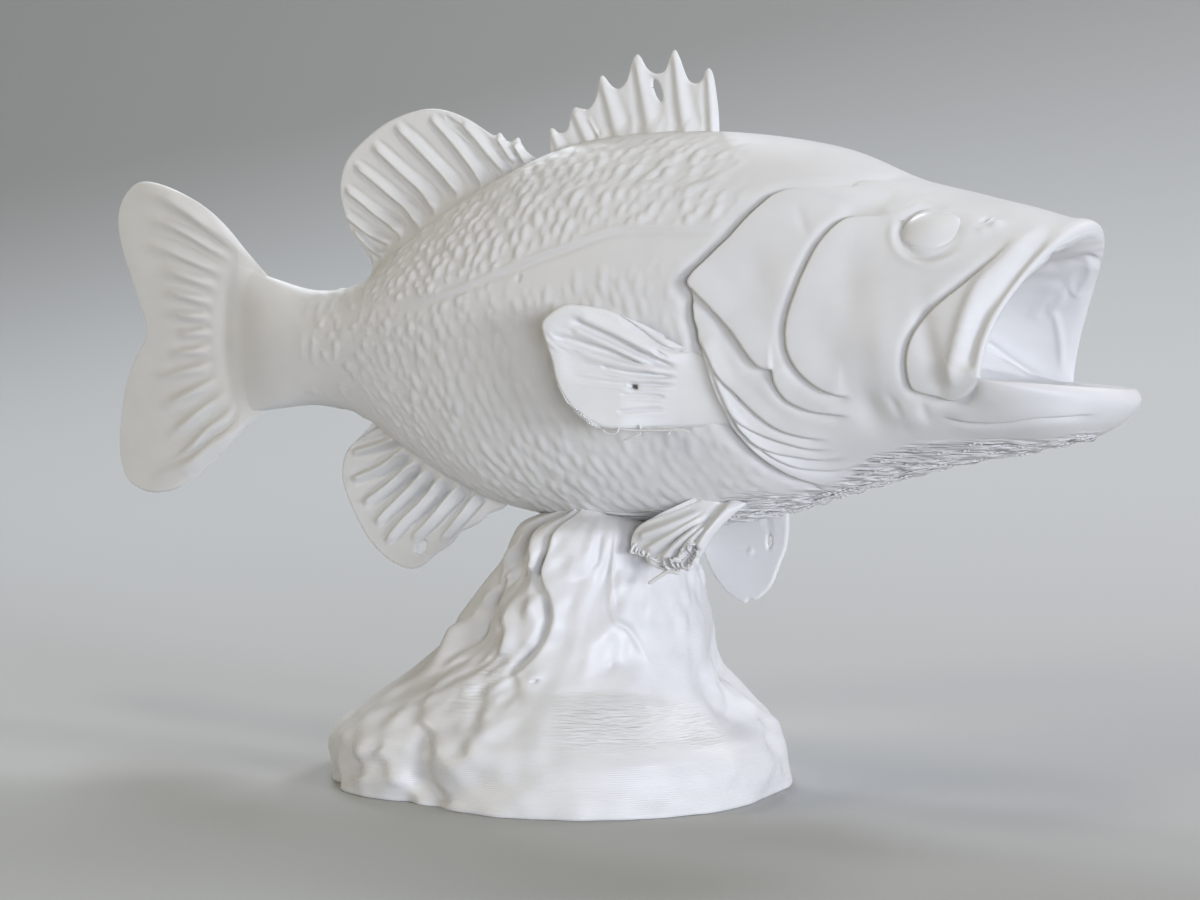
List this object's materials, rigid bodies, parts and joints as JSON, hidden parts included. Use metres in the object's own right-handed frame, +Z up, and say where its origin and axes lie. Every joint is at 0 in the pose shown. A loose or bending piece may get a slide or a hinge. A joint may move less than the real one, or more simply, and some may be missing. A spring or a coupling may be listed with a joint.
{
  "type": "3d printed largemouth bass figure on rock pedestal",
  "caption": "Unpainted white printed plastic figure of a gaping largemouth bass with spread fins, standing on its own lumpy rock pedestal.",
  "frame": {"origin": "middle of the pedestal's flat underside", "axes": "+X towards the fish's head, -Y out of the fish's right flank, +Z up"},
  "size_m": [0.1211, 0.0445, 0.0723],
  "materials": {
    "body_plastic": "bare white printed plastic, satin, with faint level layer lines",
    "fin_plastic": "bare white printed plastic, satin, thin enough to let a little light through",
    "eye_plastic": "bare white printed plastic, satin, smooth",
    "pedestal_plastic": "bare white printed plastic, satin, with level layer lines on its slopes"
  },
  "bodies": {
    "root": {"rock_pedestal": "pedestal_plastic", "head": "body_plastic", "lower_jaw": "body_plastic", "trunk": "body_plastic", "tail_stalk": "body_plastic", "gill_cover_right": "body_plastic", "gill_cover_left": "body_plastic", "jaw_plate_right": "body_plastic", "jaw_plate_left": "body_plastic", "spiny_dorsal_fin": "fin_plastic", "soft_dorsal_fin": "fin_plastic", "anal_fin": "fin_plastic", "caudal_fin": "fin_plastic", "pectoral_fin_right": "fin_plastic", "pectoral_fin_left": "fin_plastic", "pelvic_fin_right": "fin_plastic", "pelvic_fin_left": "fin_plastic", "eye_right": "eye_plastic", "eye_left": "eye_plastic"}
  },
  "joints": []
}
